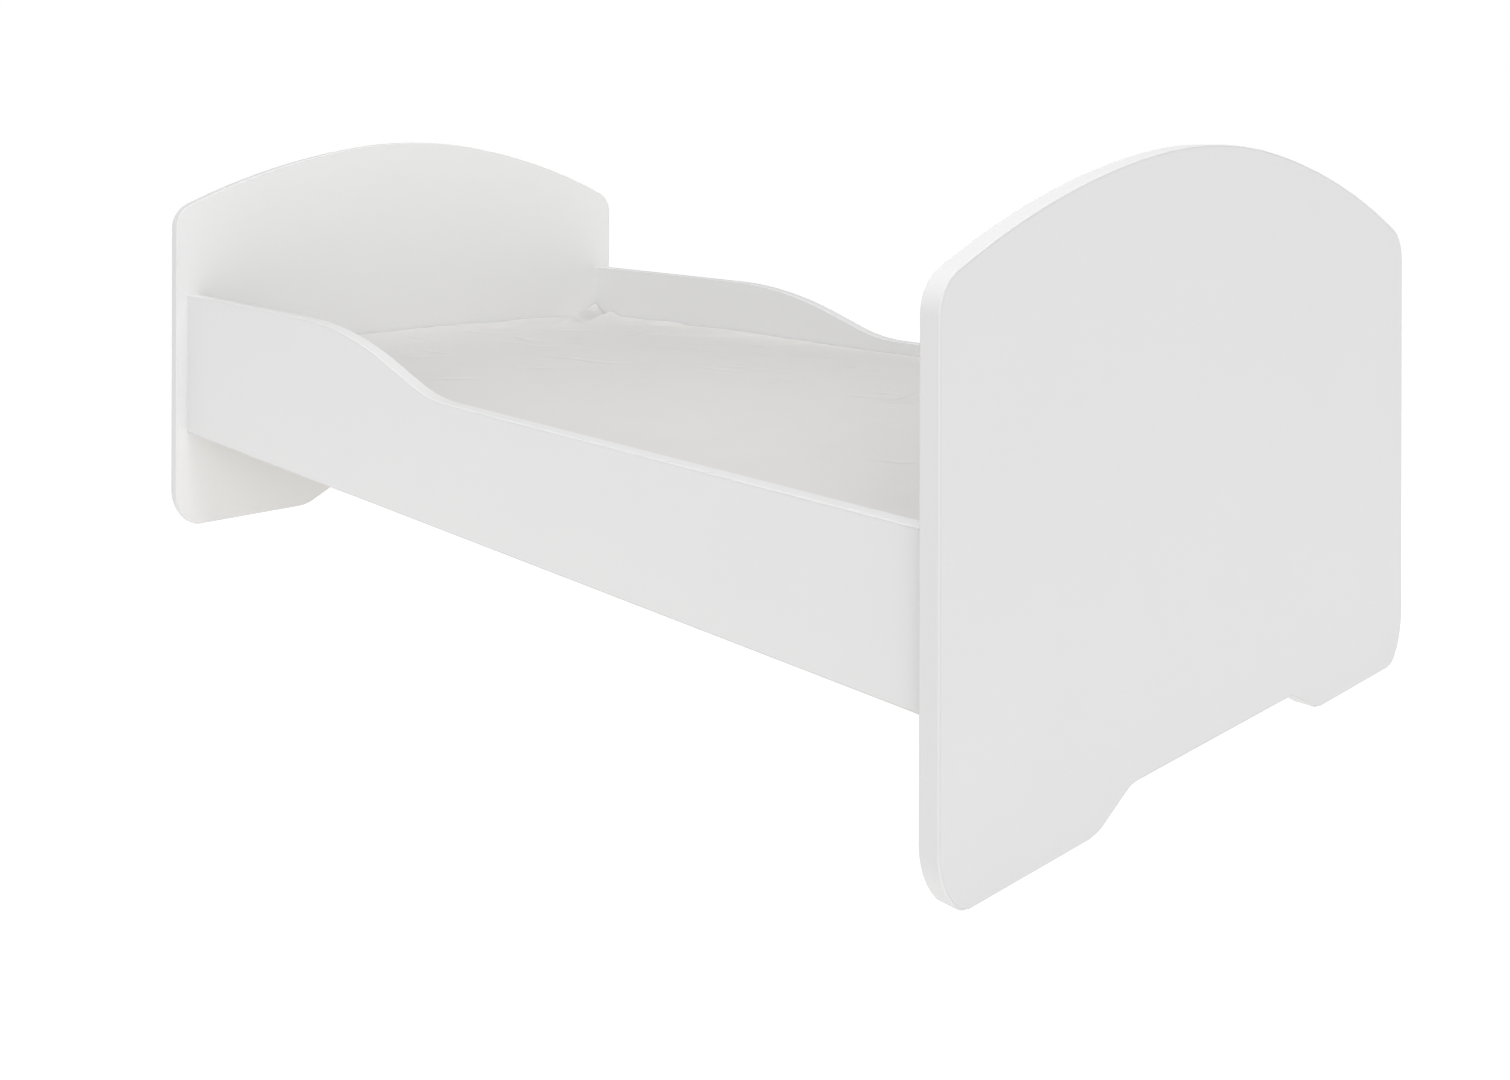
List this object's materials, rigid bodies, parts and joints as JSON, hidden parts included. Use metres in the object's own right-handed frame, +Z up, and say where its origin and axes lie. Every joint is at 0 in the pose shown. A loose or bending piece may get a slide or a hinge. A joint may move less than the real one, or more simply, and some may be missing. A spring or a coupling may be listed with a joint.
{
  "type": "toddler bed",
  "caption": "Low child's bed with arched end boards, stepped side rails, a lift-out slatted base and a mattress in a fitted sheet.",
  "frame": {"origin": "on the floor, in the middle of the bed's length and width", "axes": "+X along the bed towards the foot end, +Y across it towards the rear rail, +Z up"},
  "size_m": [1.646, 0.89, 0.637],
  "materials": {
    "board": "satin",
    "edging": "satin",
    "pine": "matte",
    "zinc": "satin",
    "steel": "satin",
    "webbing": "matte",
    "foam": "matte",
    "ticking": "matte",
    "sheet_cloth": "matte",
    "elastic": "matte"
  },
  "bodies": {
    "frame": {"headboard_panel": "board", "headboard_edge_band": "edging", "footboard_panel": "board", "footboard_edge_band": "edging", "front_rail_panel": "board", "front_rail_edge_band": "edging", "rear_rail_panel": "board", "rear_rail_edge_band": "edging", "front_batten": "pine", "rear_batten": "pine", "batten_screws": "zinc", "cam_locks": "zinc", "cam_bolts": "steel", "dowels": "pine"},
    "slat_base": {"slat_01": "pine", "slat_02": "pine", "slat_03": "pine", "slat_04": "pine", "slat_05": "pine", "slat_06": "pine", "slat_07": "pine", "slat_08": "pine", "slat_09": "pine", "slat_10": "pine", "slat_11": "pine", "slat_12": "pine", "slat_13": "pine", "front_slat_tape": "webbing", "rear_slat_tape": "webbing", "slat_staples": "steel"},
    "mattress": {"mattress_core": "foam", "mattress_cover_top": "ticking", "mattress_cover_base": "ticking", "fitted_sheet": "sheet_cloth", "sheet_elastic": "elastic"}
  },
  "joints": [
    {"name": "slat_base_lift", "type": "slide", "parent": "frame", "child": "slat_base", "axis": [0, 0, 1], "range_m": [0, 0.47]},
    {"name": "mattress_lift", "type": "slide", "parent": "slat_base", "child": "mattress", "axis": [0, 0, 1], "range_m": [0, 0.45]}
  ]
}
